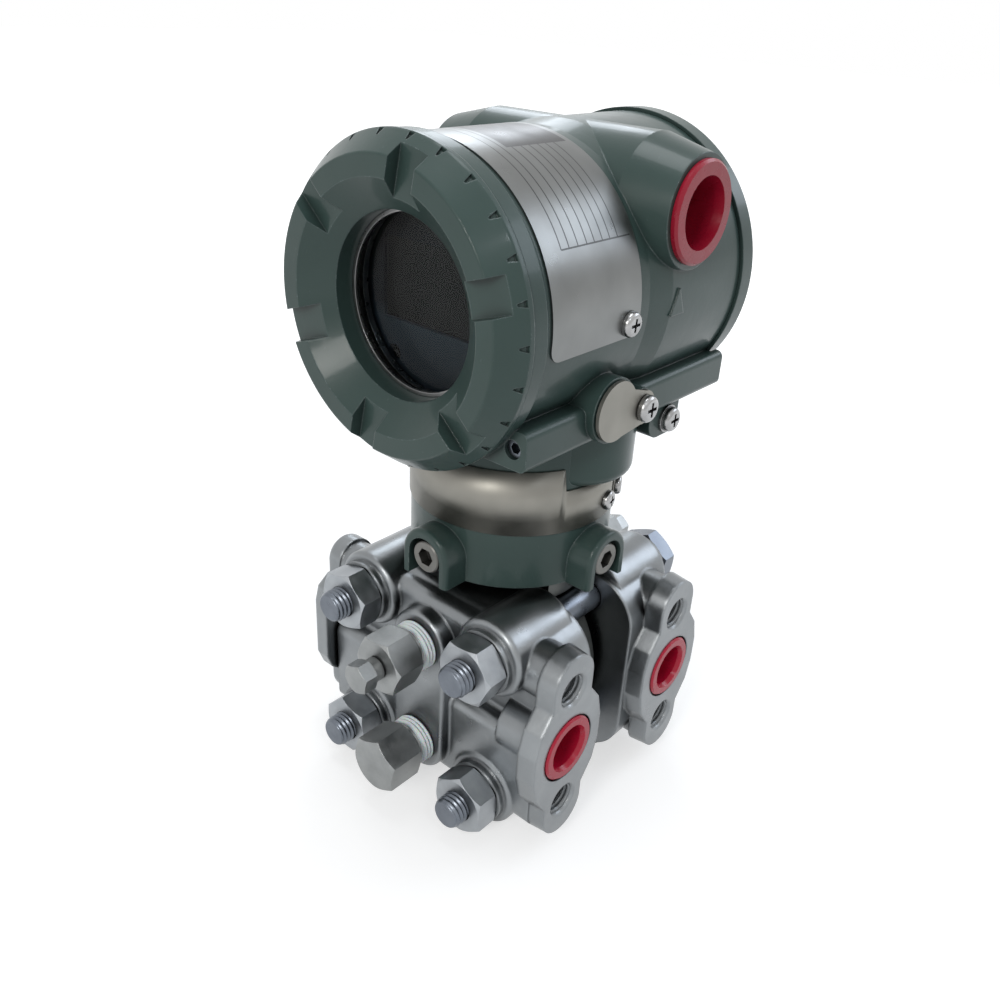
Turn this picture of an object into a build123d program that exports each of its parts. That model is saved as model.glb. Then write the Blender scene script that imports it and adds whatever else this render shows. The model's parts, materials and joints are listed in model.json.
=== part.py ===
from build123d import *
import math
import os

# Differential pressure transmitter, in millimetres.
# X points to the process ports, Y to the terminal side, Z up.
# The origin is under the middle of the part, on the surface it stands on.

# Standard connection sizes
PORT_SPACING = 54.0        # between the two process ports
BOLT_PITCH = 41.3          # between the two threaded holes beside each port
PORT_FACE_X = 49.3         # machined port faces
PORT_PLUG_PROUD = 0.5
FLANGE_END_X = PORT_FACE_X + PORT_PLUG_PROUD

# Cover flanges, capsule and their bolts
STUD_X = 25.5
STUD_Z = 24.7
STUD_BOSS_R = 12.3
PORT_Z = STUD_Z + STUD_BOSS_R
STUD_R = 5.0
STUD_CLEAR = 0.3
STUD_END_Y = 53.2
NUT_ACROSS_FLATS = 17.5
HEAD_ACROSS_FLATS = 18.2
NUT_HEIGHT = 8.0
HEAD_HEIGHT = 6.4
CAST_FILLET = 1.5
STEP_FILLET = 0.75
SEAT_Y = 39.9              # nut seats on the flanges
SEAT_R = 9.9
FLANGE_INNER_Y = 10.5
SLAB_X = 43.0              # half width, half height and corner of the flat part of a flange
SLAB_Z = 33.0
SLAB_CORNER = 15.0
SLAB_Y = 31.0
PANEL_Y = 36.8             # raised lower half of a flange, up to the ports
PANEL_X = 42.0
PANEL_TOP = 3.0
PANEL_BOTTOM = -29.0
SADDLE_Y = 35.0            # metal between the web and the upper stud bosses
SADDLE_Z = 16.0
WEB_Y = 40.2               # front of the upright web that takes the plugs
WEB_HALF = 10.8
PLUG_Z = 18.3
CAPSULE_R = 32.6
CAPSULE_HALF = 8.4
CAPSULE_NECK_R = 24.5
STUD_SCALLOP = 0.8         # clearance of the capsule round the bolts
CAPSULE_SEAT_R = 26.0
GASKET_IN_R = CAPSULE_SEAT_R + 0.6
GASKET_OUT_R = GASKET_IN_R + 3.0

# Port pads
PAD_LOBE_R = 8.8
PAD_LOBE_SHIFT = 2.9
PAD_HALF_Y = 15.2
PAD_BACK_X = 43.0
PAD_DRAFT = 6.0            # degrees
END_HALF_Y = 13.6
END_LOBE_R = 7.2
LOBE_BACK_X = 30.0         # the pad lobes and port walls run back to here
PAD_HOLE_R = 4.9
PAD_HOLE_DEPTH = 15.0
PORT_RECESS_R = 10.9
PORT_RECESS_DEPTH = 1.6
PORT_BORE_R = 8.3
PORT_BORE_DEPTH = 17.0
PORT_WALL_R = 10.4

# Plugs in the flange webs
PLUG_THREAD_R = 6.6
PLUG_HOLE_DEPTH = 12.0
PLUG_HEX_FLATS = 16.5
PLUG_HEX_START = 46.2
VENT_HEX_END = 56.6
DRAIN_HEX_END = 58.6
VENT_SCREW_FLATS = 8.5
VENT_SCREW_START = 60.2
VENT_SCREW_END = 65.0
VENT_NECK_R = 3.6
VENT_STEM_R = 3.0
TAPE_R = 7.9

# Neck
NECK_R = 31.2
NECK_BOTTOM = PORT_Z + 40.2
SOCKET_R = 19.0
SOCKET_TOP = PORT_Z + 60.0
BAND_LOW = PORT_Z + 58.0
BAND_HIGH = PORT_Z + 71.2
BAND_THICK = 0.5
HOOD_Z = PORT_Z + 47.6
HOOD_R = 9.0
HOOD_REACH = 38.2
HOOD_POCKET_R = 6.2
SCREW_SEAT = 31.6
CAP_HEAD_R = 5.0
CAP_HEAD_LENGTH = 6.0
CAP_SHANK_R = 3.0
CAP_SHANK_LENGTH = 17.0
HEX_KEY_FLATS = 5.0

# Amplifier housing
HEAD_Z = PORT_Z + 123.6
BARREL_R = 40.0
WALL = 3.5
REAR_BARREL_R = BARREL_R + 1.2
BARREL_STEP_Y = 2.0
BARREL_STEP_LENGTH = 9.0
RIM_R = BARREL_R + 1.6
RIM_LENGTH = 4.6
FACE_Y = 46.2              # both ends of the housing
BORE_R = BARREL_R - WALL
WALL_FRONT_Y = 3.5
WALL_REAR_Y = 8.0
BOSS_Y = 17.2
BOSS_Z = HEAD_Z + BARREL_R - 17.2
BOSS_ROOT_R = 18.2
BOSS_MOUTH_R = 14.8
BOSS_ROOT_X = 28.0
BOSS_X = REAR_BARREL_R + 0.8
CONDUIT_R = 10.5

# Covers
COVER_GAP = 0.3            # parting line between a cover and the housing
COVER_R = RIM_R + 0.3
COVER_SIDE = 1.9
COVER_FRONT_Y = 54.8
COVER_EDGE_R = COVER_R - 5.0
COVER_FACE_R = COVER_R - 10.3
WINDOW_R = COVER_R - 18.2
WINDOW_EDGE_Y = 48.2
NOTCH_FLOOR_Y = 51.0
NOTCH_WIDTH = 8.8
NOTCH_ANGLE = 18.5
NOTCH_BOTTOM_R = WINDOW_R + 2.9
POCKETS = 26
POCKET_WIDTH = 1.8
POCKET_LENGTH = 2.8
SPIGOT_CLEAR = 0.08
SPIGOT_R = BORE_R - SPIGOT_CLEAR
SPIGOT_END_Y = 35.2
SPIGOT_BORE_R = BORE_R - 4.9
RING_Y = 44.4
RING_SECTION_R = 0.85
RING_GROOVE_R = BORE_R - 1.9
REAR_COVER_R = REAR_BARREL_R + 1.0
REAR_COVER_SIDE = 5.6
REAR_COVER_END_Y = 56.6
REAR_COVER_FLOOR = 5.2
REAR_EDGE_R = REAR_COVER_R - 4.8
REAR_DISH_R = REAR_COVER_R - 13.8

# Window
GLASS_R = WINDOW_R + 3.3
GLASS_FRONT_Y = 41.8
GLASS_BACK_Y = 37.0
GLASS_RING_END_Y = SPIGOT_END_Y
GLASS_RING_BORE_R = WINDOW_R + 0.9
GLASS_HOLDER_R = GLASS_R + 2.4

# Insides
INDICATOR_R = SPIGOT_BORE_R - 2.0
INDICATOR_FRONT_Y = 33.6
INDICATOR_BACK_Y = 19.0
DISPLAY_WIDE = 40.0
DISPLAY_HIGH = 22.0
INDICATOR_SCREW_X = 16.0
INDICATOR_SCREW_Z = HEAD_Z - INDICATOR_R + 11.1
MODULE_R = BORE_R - 3.5
MODULE_FLAT_X = INDICATOR_R - 0.1
TERMINAL_R = 25.0
TERMINAL_END_Y = 21.0

# Name plate
PLATE_THICK = 0.45
PLATE_FIRST_DEG = -8.5
PLATE_LAST_DEG = 128.5
PLATE_Y0 = -38.3
PLATE_Y1 = -2.5
PLATE_SCREW_DEG = (-3.0, 123.0)
PLATE_SCREW_Y = -7.0

# Side rail, zero adjustment and ground terminal
RAIL_X = BARREL_R - 1.0
RAIL_Y0 = -43.2
RAIL_Y1 = 49.0
RAIL_Z0 = HEAD_Z - 33.2
RAIL_Z1 = HEAD_Z - 22.6
ZERO_Y = -11.0
ZERO_Z = HEAD_Z - 24.4
ZERO_BOSS_R = 9.0
ZERO_BOSS_X = REAR_BARREL_R + 0.2
ZERO_WELL_R = 5.4
ZERO_WELL_DEPTH = 7.0
ZERO_PLATE_R = 8.3
ZERO_PLATE_THICK = 1.0
ZERO_PLATE_GAP = 0.3
EAR_Y = 1.6
EAR_Z = HEAD_Z - 26.6
EAR_R = 5.2
EAR_SCREW_R = 3.8
GROUND_Y = 24.0
GROUND_Z = HEAD_Z - 37.8
GROUND_FACE_X = BARREL_R - 3.0
GROUND_WASHER_R = 4.2
LUG_FRONT = 9.0            # the lug's reach round the ground screw
LUG_BACK = 6.0
LUG_BELOW = 5.0
GROUND_SCREW_R = 3.7
BULGE_X = 19.6
BULGE_Y = 3.5
BULGE_R = 17.4

# Plastic plugs
CONDUIT_RING_R = 13.4
CONDUIT_RING_THICK = 1.7
CONDUIT_PLUG_LENGTH = 9.5
PORT_PLUG_LENGTH = 11.0
PLUG_WALL = 1.3
PLASTIC_CLEAR = 0.1


def cyl_x(radius, x0, x1, y=0.0, z=0.0):
    return Pos((x0 + x1) / 2, y, z) * Rot(0, 90, 0) * Cylinder(radius, x1 - x0)


def cyl_y(radius, y0, y1, x=0.0, z=0.0):
    return Pos(x, (y0 + y1) / 2, z) * Rot(-90, 0, 0) * Cylinder(radius, y1 - y0)


def cyl_z(radius, z0, z1, x=0.0, y=0.0):
    return Pos(x, y, (z0 + z1) / 2) * Cylinder(radius, z1 - z0)


def block(x0, x1, y0, y1, z0, z1):
    return Pos((x0 + x1) / 2, (y0 + y1) / 2, (z0 + z1) / 2) * Box(x1 - x0, y1 - y0, z1 - z0)


def turned_y(points, z=HEAD_Z):
    """Solid turned about an axis along Y from (radius, y) corner points."""
    face = make_face(Polyline(*points, close=True))
    return Pos(0, 0, z) * revolve(face, Axis.Y)


def turned_x(points, y, z):
    """Solid turned about an axis along X from (x, radius) corner points."""
    face = make_face(Polyline(*points, close=True))
    return Pos(0, y, z) * revolve(face, Axis.X)


def around_head(shape, degrees):
    """Turn a shape made at angle zero about the head axis, counted from +X towards +Z."""
    return Pos(0, 0, HEAD_Z) * Rot(0, -degrees, 0) * Pos(0, 0, -HEAD_Z) * shape


def hex_y(flats, y0, y1, x, z, turn=0.0):
    """Hexagon bar along Y with both ends chamfered by a cone."""
    corner = flats / math.sqrt(3)
    bar = extrude(Plane.XZ * Rot(0, 0, turn) * RegularPolygon(corner, 6), y1 - y0, dir=(0, 1, 0))
    slope = (corner - flats / 2) * 0.6
    trim = [(0, 0), (flats / 2, 0), (corner, slope), (corner, y1 - y0 - slope),
            (flats / 2, y1 - y0), (0, y1 - y0)]
    cone = revolve(make_face(Polyline(*trim, close=True)), Axis.Y)
    return Pos(x, y0, z) * (bar & cone)


def rear(shape):
    """The same shape on the terminal side."""
    return mirror(shape, Plane.XZ)


def pan_screw(head_r, shank_r, shank_length):
    """Pan head screw with a cross recess, pointing up, seat at the origin."""
    height = head_r * 0.62
    dome = Cylinder(head_r, height, align=(Align.CENTER, Align.CENTER, Align.MIN))
    dome = fillet(dome.edges().group_by(Axis.Z)[-1], height * 0.6)
    slot = Pos(0, 0, height) * Box(head_r * 1.1, head_r * 0.26, height)
    shank = Cylinder(shank_r, shank_length, align=(Align.CENTER, Align.CENTER, Align.MAX))
    return dome - slot - Rot(0, 0, 90) * slot + shank


STUD_PLACES = [(sx * STUD_X, PORT_Z + sz * STUD_Z) for sx in (1, -1) for sz in (1, -1)]

# Port pad outline in the plane of its face, (y, z) from the port centre
LOBE_Z = BOLT_PITCH / 2 + PAD_LOBE_SHIFT
PAD_SHOULDERS = [(9.0, 17.0), (13.2, 11.6), (PAD_HALF_Y, 4.0), (PAD_HALF_Y, -5.0),
                 (13.4, -12.4), (9.0, -18.6)]
END_SHOULDERS = [(7.6, 19.5), (12.2, 16.0), (END_HALF_Y, 10.5), (END_HALF_Y, -10.0),
                 (11.6, -15.0), (7.0, -18.6)]


def pad_outline(shoulders, lobe_r):
    left = [(-y, z) for y, z in reversed(shoulders)]
    outline = make_face(Polyline(*shoulders, *left, close=True))
    for side in (1, -1):
        outline += Pos(0, side * LOBE_Z / 2) * Rectangle(2 * lobe_r, LOBE_Z)
        outline += Pos(0, side * LOBE_Z) * Circle(lobe_r)
    return outline


def stud_cylinders(radius, y0, y1):
    return [cyl_y(radius, y0, y1, x, z) for x, z in STUD_PLACES]


def rising_edges(body, y):
    """Edges at one depth where the web, the panel and the stud bosses stand on the flange."""
    def rises(edge):
        box = edge.bounding_box()
        level = box.max.Y - box.min.Y < 0.02 and abs(box.max.Y + y) < 0.02
        return level and abs(edge.center().X) < SLAB_X - 7 and edge.center().Z < PORT_Z + SLAB_Z - 3
    return body.edges().filter_by(rises)


def flange_panel(x0, x1):
    panel = block(x0, x1, -PANEL_Y, -SLAB_Y + 5, PORT_Z + PANEL_BOTTOM, PORT_Z + PANEL_TOP)
    return fillet(panel.edges().filter_by(Axis.X).group_by(Axis.Y)[0], 4.0)


def flange_body():
    """Slab, raised panel, upright web and stud bosses of the front flange."""
    front = Plane((0, -FLANGE_INNER_Y, PORT_Z), x_dir=(1, 0, 0), z_dir=(0, -1, 0))
    slab = extrude(front * RectangleRounded(2 * SLAB_X, 2 * SLAB_Z, SLAB_CORNER), SLAB_Y - FLANGE_INNER_Y)
    slab = fillet(slab.edges().group_by(Axis.Y)[0], 5.0)
    panel = flange_panel(-PANEL_X, PANEL_X)
    saddle = block(-STUD_X, STUD_X, -SADDLE_Y, -SLAB_Y + 5, PORT_Z + SADDLE_Z, PORT_Z + SLAB_Z - 1)
    saddle = fillet(saddle.edges().filter_by(Axis.X).group_by(Axis.Y)[0], 4.0)
    web = extrude(front * SlotCenterToCenter(2 * PLUG_Z, 2 * WEB_HALF, rotation=90), WEB_Y - FLANGE_INNER_Y)
    web = fillet(web.edges().group_by(Axis.Y)[0], 1.2)
    bosses = stud_cylinders(STUD_BOSS_R, -SEAT_Y + 2.4, -FLANGE_INNER_Y - 2.0)
    bosses = [fillet(b.edges().group_by(Axis.Y)[0], 1.6) for b in bosses]
    body = slab + panel + saddle + web + bosses
    body = fillet(rising_edges(body, SLAB_Y), CAST_FILLET)
    return fillet(rising_edges(body, PANEL_Y).filter_by(Axis.X, reverse=True), STEP_FILLET)


def cover_flange():
    """Front cover flange; the rear one is its mirror image."""
    port_y = -PORT_SPACING / 2
    body = flange_body()
    body += cyl_x(PORT_WALL_R, LOBE_BACK_X, PAD_BACK_X + 1, port_y, PORT_Z)
    pad_plane = Plane((PORT_FACE_X, port_y, PORT_Z), x_dir=(0, -1, 0), z_dir=(-1, 0, 0))
    depth = PORT_FACE_X - PAD_BACK_X
    pad = extrude(pad_plane * pad_outline(PAD_SHOULDERS, PAD_LOBE_R), depth, taper=-PAD_DRAFT)
    end_plane = Plane((-PAD_BACK_X, port_y, PORT_Z), x_dir=(0, -1, 0), z_dir=(-1, 0, 0))
    end = extrude(end_plane * pad_outline(END_SHOULDERS, END_LOBE_R), FLANGE_END_X - PAD_BACK_X)
    end = fillet(end.faces().sort_by(Axis.X)[0].edges(), 2.6)
    body += [pad, end, flange_panel(PANEL_X - 1, PAD_BACK_X + 1)]
    for side in (1, -1):
        lobe_z = PORT_Z + side * (LOBE_Z - 0.6)
        body += cyl_x(PAD_LOBE_R - 0.4, LOBE_BACK_X, PAD_BACK_X + 1, port_y, lobe_z)
        body += cyl_x(END_LOBE_R - 0.3, -PAD_BACK_X - 1, -LOBE_BACK_X, port_y, lobe_z)
    body += stud_cylinders(SEAT_R, -SEAT_Y, -FLANGE_INNER_Y - 2.0)
    cuts = stud_cylinders(STUD_R + STUD_CLEAR, -SEAT_Y - 1, 0)
    cuts += [cyl_y(PLUG_THREAD_R + 0.05, -WEB_Y - 1, -WEB_Y + PLUG_HOLE_DEPTH, 0, PORT_Z + s * PLUG_Z)
             for s in (1, -1)]
    for side in (1, -1):
        hole_z = PORT_Z + side * BOLT_PITCH / 2
        cuts.append(cyl_x(PAD_HOLE_R, PORT_FACE_X - PAD_HOLE_DEPTH, PORT_FACE_X + 1, port_y, hole_z))
        mouth = [(PORT_FACE_X - 0.9, 0), (PORT_FACE_X - 0.9, PAD_HOLE_R), (PORT_FACE_X, PAD_HOLE_R + 0.9),
                 (PORT_FACE_X, 0)]
        cuts.append(turned_x(mouth, port_y, hole_z))
    cuts.append(cyl_x(PORT_RECESS_R, PORT_FACE_X - PORT_RECESS_DEPTH, PORT_FACE_X + 1, port_y, PORT_Z))
    cuts.append(cyl_x(PORT_BORE_R, PORT_FACE_X - PORT_BORE_DEPTH, PORT_FACE_X + 1, port_y, PORT_Z))
    cuts.append(cyl_y(CAPSULE_SEAT_R + 0.2, -FLANGE_INNER_Y - 2.4, 0, 0, PORT_Z))
    cuts.append(block(-2 * PORT_FACE_X, 2 * PORT_FACE_X, -FLANGE_INNER_Y, 0, 0, 2 * PORT_Z))
    return body - cuts


def capsule():
    rim = cyl_y(CAPSULE_R, -CAPSULE_HALF, CAPSULE_HALF, 0, PORT_Z)
    rim = chamfer(rim.edges().filter_by(GeomType.CIRCLE), 0.6)
    core = cyl_y(CAPSULE_SEAT_R, -FLANGE_INNER_Y - 1.9, FLANGE_INNER_Y + 1.9, 0, PORT_Z)
    wide = CAPSULE_HALF - 0.6
    column = cyl_z(CAPSULE_NECK_R, PORT_Z, NECK_BOTTOM - 0.4)
    column &= block(-30, 30, -wide, wide, 0, 2 * PORT_Z + 20)
    collar = cyl_z(23.0, NECK_BOTTOM - 4.0, NECK_BOTTOM - 0.4)
    stem = cyl_z(SOCKET_R - 0.05, NECK_BOTTOM - 4.0, SOCKET_TOP - 0.5)
    body = rim + core + column + collar + stem
    for x, z in STUD_PLACES:
        body -= cyl_y(STUD_R + STUD_SCALLOP, -CAPSULE_HALF - 1, CAPSULE_HALF + 1, x, z)
    for axis_turn in (-90, 0):
        screw_hole = cyl_x(CAP_SHANK_R + 0.05, SCREW_SEAT - CAP_SHANK_LENGTH - 0.5, 30, 0, HOOD_Z)
        body -= Rot(0, 0, axis_turn) * screw_hole
    return body


def flange_gasket():
    ring = cyl_y(GASKET_OUT_R, -FLANGE_INNER_Y, -CAPSULE_HALF, 0, PORT_Z)
    return ring - cyl_y(GASKET_IN_R, -FLANGE_INNER_Y - 1, 0, 0, PORT_Z)


def flange_bolts():
    out = []
    for x, z in STUD_PLACES:
        rod = cyl_y(STUD_R, -STUD_END_Y, SEAT_Y + 1, x, z)
        rod = chamfer(rod.edges().group_by(Axis.Y)[0], 0.9)
        out.append(rod + hex_y(HEAD_ACROSS_FLATS, SEAT_Y, SEAT_Y + HEAD_HEIGHT, x, z, 22))
    return out


def flange_nuts():
    turns = (5.5, 31.0, 17.0, 44.0)
    out = []
    for (x, z), turn in zip(STUD_PLACES, turns):
        nut = hex_y(NUT_ACROSS_FLATS, -SEAT_Y - NUT_HEIGHT, -SEAT_Y, x, z, turn)
        out.append(nut - cyl_y(STUD_R + 0.02, -60, 0, x, z))
    return out


def web_plug(z, hex_end, turn, stem_hole):
    """Threaded hexagon plug in a web, with a hole for the bleed screw where it has one."""
    thread = cyl_y(PLUG_THREAD_R, -PLUG_HEX_START, -WEB_Y + PLUG_HOLE_DEPTH - 1, 0, z)
    body = hex_y(PLUG_HEX_FLATS, -hex_end, -PLUG_HEX_START, 0, z, turn) + thread
    if stem_hole:
        body -= cyl_y(VENT_STEM_R + 0.06, -hex_end - 1, -PLUG_HEX_START + 4, 0, z)
    return body


def bleed_screw():
    z = PORT_Z + PLUG_Z
    head = hex_y(VENT_SCREW_FLATS, -VENT_SCREW_END, -VENT_SCREW_START, 0, z, 20)
    neck = cyl_y(VENT_NECK_R, -VENT_SCREW_START, -VENT_HEX_END - 0.4, 0, z)
    stem = cyl_y(VENT_STEM_R, -VENT_SCREW_START, -PLUG_HEX_START + 2, 0, z)
    return head + neck + stem


def thread_tape():
    out = []
    for side in (1, -1):
        z = PORT_Z + side * PLUG_Z
        coil = [(PLUG_THREAD_R + 0.03, -WEB_Y - 5.2), (PLUG_THREAD_R + 0.5, -WEB_Y - 5.2),
                (TAPE_R, -WEB_Y - 3.6), (TAPE_R, -WEB_Y - 0.05), (PLUG_THREAD_R + 0.03, -WEB_Y - 0.05)]
        out.append(turned_y(coil, z))
    return out


def neck_hood(turn):
    reach = block(20, HOOD_REACH, -HOOD_R, HOOD_R, NECK_BOTTOM, HOOD_Z)
    arch = cyl_x(HOOD_R, 20, HOOD_REACH, 0, HOOD_Z)
    arch -= block(0, 60, -20, 20, 0, NECK_BOTTOM)
    hood = fillet((reach + arch).edges().group_by(Axis.X)[-1].sort_by(Axis.Z)[1:], 1.4)
    return Rot(0, 0, turn) * hood


def neck_hood_pocket(turn):
    pocket = cyl_x(HOOD_POCKET_R, SCREW_SEAT, HOOD_REACH + 1, 0, HOOD_Z)
    slot = block(SCREW_SEAT, HOOD_REACH + 1, -HOOD_POCKET_R, HOOD_POCKET_R, NECK_BOTTOM - 1, HOOD_Z)
    hole = cyl_x(CAP_SHANK_R + 0.2, 10, SCREW_SEAT + 1, 0, HOOD_Z)
    return Rot(0, 0, turn) * (pocket + slot + hole)


def amplifier_housing():
    head = turned_y([(0, -FACE_Y), (RIM_R, -FACE_Y), (RIM_R, -FACE_Y + RIM_LENGTH),
                     (BARREL_R, -FACE_Y + RIM_LENGTH + 2.2), (BARREL_R, BARREL_STEP_Y),
                     (REAR_BARREL_R, BARREL_STEP_Y + BARREL_STEP_LENGTH), (REAR_BARREL_R, FACE_Y), (0, FACE_Y)])
    cross = cyl_x(BOSS_ROOT_R, -BOSS_ROOT_X, BOSS_ROOT_X, BOSS_Y, BOSS_Z)
    mouths = turned_x([(BOSS_ROOT_X - 6, 0), (BOSS_ROOT_X - 6, BOSS_ROOT_R), (BOSS_ROOT_X, BOSS_ROOT_R),
                       (BOSS_X, BOSS_MOUTH_R), (BOSS_X, 0)], BOSS_Y, BOSS_Z)
    head += cross + mouths + mirror(mouths, Plane.YZ)
    neck = cyl_z(NECK_R, NECK_BOTTOM, HEAD_Z - 20)
    bulge = cyl_z(BULGE_R, BAND_HIGH + 0.6, HEAD_Z - 24, BULGE_X, BULGE_Y)
    bulge = fillet(bulge.edges().group_by(Axis.Z)[0], 3.0)
    rail = block(20, RAIL_X, RAIL_Y0, RAIL_Y1, RAIL_Z0, RAIL_Z1)
    rail = fillet(rail.edges().filter_by(Axis.Y).group_by(Axis.X)[-1], 2.0)
    rail -= cyl_y(REAR_COVER_R + 0.6, FACE_Y, RAIL_Y1 + 1, 0, HEAD_Z)
    zero = cyl_x(ZERO_BOSS_R, 24, ZERO_BOSS_X, ZERO_Y, ZERO_Z)
    ear = cyl_x(EAR_R, 24, ZERO_BOSS_X, EAR_Y, EAR_Z)
    lug = block(20, GROUND_FACE_X, GROUND_Y - LUG_FRONT, GROUND_Y + LUG_BACK,
                GROUND_Z - LUG_BELOW, RAIL_Z0 + 2)
    lug = fillet(lug.edges().filter_by(Axis.X).group_by(Axis.Z)[0], LUG_BELOW)
    body = head + neck + bulge + rail + zero + ear + lug
    for turn in (-90, 0):
        body += neck_hood(turn)
    mark = Plane((REAR_BARREL_R - 0.5, BOSS_Y - 3.4, HEAD_Z), x_dir=(0, 1, 0), z_dir=(1, 0, 0))
    arrow = extrude(mark * make_face(Polyline((-3.2, -3.6), (3.2, -3.6), (0, 3.6), close=True)), 1.0)
    body += arrow
    body -= cyl_y(BORE_R, -FACE_Y - 1, WALL_FRONT_Y, 0, HEAD_Z)
    body -= cyl_y(BORE_R, WALL_REAR_Y, FACE_Y + 1, 0, HEAD_Z)
    body -= cyl_x(CONDUIT_R, -BOSS_X - 1, BOSS_X + 1, BOSS_Y, BOSS_Z)
    body -= cyl_z(SOCKET_R, NECK_BOTTOM - 1, SOCKET_TOP)
    for turn in (-90, 0):
        body -= neck_hood_pocket(turn)
    body -= cyl_x(ZERO_WELL_R, ZERO_BOSS_X - ZERO_WELL_DEPTH, ZERO_BOSS_X + 1, ZERO_Y, ZERO_Z)
    body -= cyl_x(2.05, ZERO_BOSS_X - 9, ZERO_BOSS_X + 1, EAR_Y, EAR_Z)
    body -= cyl_x(2.05, GROUND_FACE_X - 8, GROUND_FACE_X + 1, GROUND_Y, GROUND_Z)
    for degrees in PLATE_SCREW_DEG:
        hole = cyl_x(1.55, BARREL_R - 2.4, BARREL_R + 2, PLATE_SCREW_Y, HEAD_Z)
        body -= around_head(hole, degrees)
    for degrees, z in BAND_SCREWS:
        body -= Rot(0, 0, degrees) * cyl_x(1.3, NECK_R - 6, NECK_R + 2, 0, z)
    body -= cyl_y(LOCK_R + 0.05, RAIL_Y0 - 1, RAIL_Y0 + LOCK_SUNK + 8.4, LOCK_X, LOCK_Z)
    return body


BAND_SCREW_Z = (BAND_LOW + BAND_HIGH) / 2 - 1.8
FRONT_BAND = (-157.0, 18.0)
REAR_BAND = (22.0, 199.0)
FRONT_BAND_SCREWS = (-149.5, 11.5)
REAR_BAND_SCREWS = (31.5, 190.5)
BAND_SCREWS = [(d, BAND_SCREW_Z) for d in FRONT_BAND_SCREWS + REAR_BAND_SCREWS]
LOCK_X = RAIL_X - 4.4
LOCK_Z = RAIL_Z1 - 5.2
LOCK_R = 2.5
LOCK_SUNK = 1.2


def castellations(side, width, floor_y, outer_r):
    """Six slots across the rim of a cover."""
    slots = []
    for k in range(6):
        slot = block(14, outer_r + 4, -70, -floor_y, HEAD_Z - width / 2, HEAD_Z + width / 2)
        slots.append(around_head(slot, NOTCH_ANGLE + 60 * k))
    return slots


def spigot_groove():
    return [(RING_GROOVE_R, -RING_Y - 1.05), (SPIGOT_R + 1, -RING_Y - 1.05), (SPIGOT_R + 1, -RING_Y + 1.05),
            (RING_GROOVE_R, -RING_Y + 1.05)]


def front_cover():
    back = -FACE_Y - COVER_GAP
    ring = turned_y([(WINDOW_R, -GLASS_FRONT_Y), (WINDOW_R, -WINDOW_EDGE_Y), (COVER_FACE_R, -COVER_FRONT_Y),
                     (COVER_EDGE_R, -COVER_FRONT_Y), (COVER_R - 0.3, back - COVER_SIDE), (COVER_R, back - 1.4),
                     (COVER_R, back), (SPIGOT_R, back), (SPIGOT_R, -SPIGOT_END_Y),
                     (SPIGOT_BORE_R, -SPIGOT_END_Y),
                     (SPIGOT_BORE_R, -GLASS_FRONT_Y + 1), (GLASS_HOLDER_R, -GLASS_FRONT_Y + 1),
                     (GLASS_HOLDER_R, -SPIGOT_END_Y), (GLASS_R + 0.05, -SPIGOT_END_Y),
                     (GLASS_R + 0.05, -GLASS_FRONT_Y)])
    slots = castellations(1, NOTCH_WIDTH, NOTCH_FLOOR_Y, COVER_R)
    keep = cyl_y(NOTCH_BOTTOM_R, -70, 0, 0, HEAD_Z)
    ring -= [slot - keep for slot in slots]
    edges = ring.edges().filter_by(GeomType.CIRCLE).filter_by(lambda e: abs(e.center().Y + COVER_FRONT_Y) < 1e-3)
    ring = fillet([e for e in edges if abs(e.radius - COVER_EDGE_R) < 1e-3], 0.7)
    wedge = Plane((COVER_R - 1.6, 0, HEAD_Z), x_dir=(0, 1, 0), z_dir=(1, 0, 0))
    wedge = extrude(wedge * make_face(Polyline((back - 1.5, -POCKET_WIDTH / 2), (back - 1.5, POCKET_WIDTH / 2),
                                               (back - 1.5 - POCKET_LENGTH, 0), close=True)), 4)
    pockets = [around_head(wedge, 1.0 + 360 / POCKETS * k) for k in range(POCKETS)]
    floor = cyl_y(COVER_R - 1.0, back - 4.0, 0, 0, HEAD_Z)
    sloped = turned_y([(0, back), (COVER_R - 1.0, back), (COVER_R - 1.0, back - COVER_SIDE),
                       (COVER_EDGE_R - 1.0, -COVER_FRONT_Y), (0, -COVER_FRONT_Y)])
    ring -= [p - (floor & sloped) for p in pockets]
    return ring - turned_y(spigot_groove())


def rear_cover():
    back = FACE_Y + COVER_GAP
    shell = turned_y([(0, REAR_COVER_END_Y - 1.4), (REAR_DISH_R - 1.4, REAR_COVER_END_Y - 1.4),
                      (REAR_DISH_R, REAR_COVER_END_Y),
                      (REAR_EDGE_R, REAR_COVER_END_Y), (REAR_COVER_R, back + REAR_COVER_SIDE),
                      (REAR_COVER_R, back), (SPIGOT_R, back), (SPIGOT_R, SPIGOT_END_Y),
                      (SPIGOT_BORE_R, SPIGOT_END_Y), (SPIGOT_BORE_R, REAR_COVER_END_Y - REAR_COVER_FLOOR),
                      (0, REAR_COVER_END_Y - REAR_COVER_FLOOR)])
    slots = [mirror(s, Plane.XZ) for s in castellations(-1, NOTCH_WIDTH, REAR_COVER_END_Y - 2.6, REAR_COVER_R)]
    keep = cyl_y(REAR_DISH_R + 1.6, 0, 70, 0, HEAD_Z)
    shell -= [slot - keep for slot in slots]
    return shell - rear(turned_y(spigot_groove()))


def cover_ring():
    ring = Torus((RING_GROOVE_R + 0.1 + SPIGOT_R - 0.02) / 2, RING_SECTION_R)
    return Pos(0, -RING_Y, HEAD_Z) * Rot(90, 0, 0) * ring


def window_glass():
    return cyl_y(GLASS_R, -GLASS_FRONT_Y, -GLASS_BACK_Y, 0, HEAD_Z)


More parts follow.
